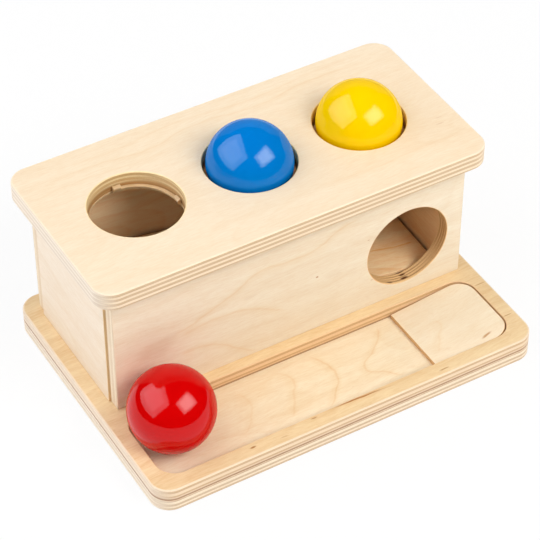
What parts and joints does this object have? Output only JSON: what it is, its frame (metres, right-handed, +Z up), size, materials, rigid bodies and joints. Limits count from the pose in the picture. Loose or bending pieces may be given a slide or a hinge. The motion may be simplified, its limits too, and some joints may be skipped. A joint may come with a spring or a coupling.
{
  "type": "ball drop box",
  "caption": "Plywood toy box: balls pushed through soft rings in the lid drop on a tilted floor, roll out of a round front outlet and come to rest in a tray.",
  "frame": {"origin": "on the floor under the middle of the base board", "axes": "+X along the box towards the outlet's end, -Y towards the tray, +Z up"},
  "size_m": [0.2487, 0.177, 0.1368],
  "materials": {
    "lid_ply": "pale birch plywood, sanded and clear matt lacquered",
    "pale_ply": "pale birch plywood, sanded",
    "panel_ply": "birch plywood panel, clear matt lacquered",
    "base_ply": "warm birch plywood, clear matt lacquered",
    "beech": "plain beech",
    "grip_rubber": "soft cream rubber",
    "red_lacquer": "high gloss red lacquer on turned wood",
    "blue_lacquer": "high gloss blue lacquer on turned wood",
    "yellow_lacquer": "high gloss yellow lacquer on turned wood",
    "zinc_steel": "zinc plated steel"
  },
  "bodies": {
    "box": {"base_board": "base_ply", "tray_frame": "base_ply", "landing_wedge": "pale_ply", "front_panel": "panel_ply", "back_panel": "panel_ply", "left_end_panel": "panel_ply", "right_end_panel": "panel_ply", "inner_ramp": "pale_ply", "ramp_cleat": "beech", "ramp_rail": "beech", "lid": "lid_ply", "grip_ring_left": "grip_rubber", "grip_ring_middle": "grip_rubber", "grip_ring_right": "grip_rubber", "base_screw_front_left": "zinc_steel", "base_screw_front_right": "zinc_steel", "base_screw_back_left": "zinc_steel", "base_screw_back_right": "zinc_steel", "base_screw_end_left": "zinc_steel", "base_screw_end_right": "zinc_steel", "lid_dowel_front_left": "beech", "lid_dowel_front_right": "beech", "lid_dowel_back_left": "beech", "lid_dowel_back_right": "beech", "lid_dowel_end_left": "beech", "lid_dowel_end_right": "beech"},
    "red_ball": {"red_ball": "red_lacquer"},
    "blue_ball": {"blue_ball": "blue_lacquer"},
    "yellow_ball": {"yellow_ball": "yellow_lacquer"}
  },
  "joints": [
    {"name": "red_ball_roll", "type": "slide", "parent": "box", "child": "red_ball", "axis": [1, 0, 0], "range_m": [-0.0015, 0.145]},
    {"name": "blue_ball_drop", "type": "slide", "parent": "box", "child": "blue_ball", "axis": [0, 0, 1], "range_m": [-0.047, 0.03], "deforming": ["grip_ring_middle"]},
    {"name": "yellow_ball_drop", "type": "slide", "parent": "box", "child": "yellow_ball", "axis": [0, 0, 1], "range_m": [-0.058, 0.03], "deforming": ["grip_ring_right"]}
  ]
}
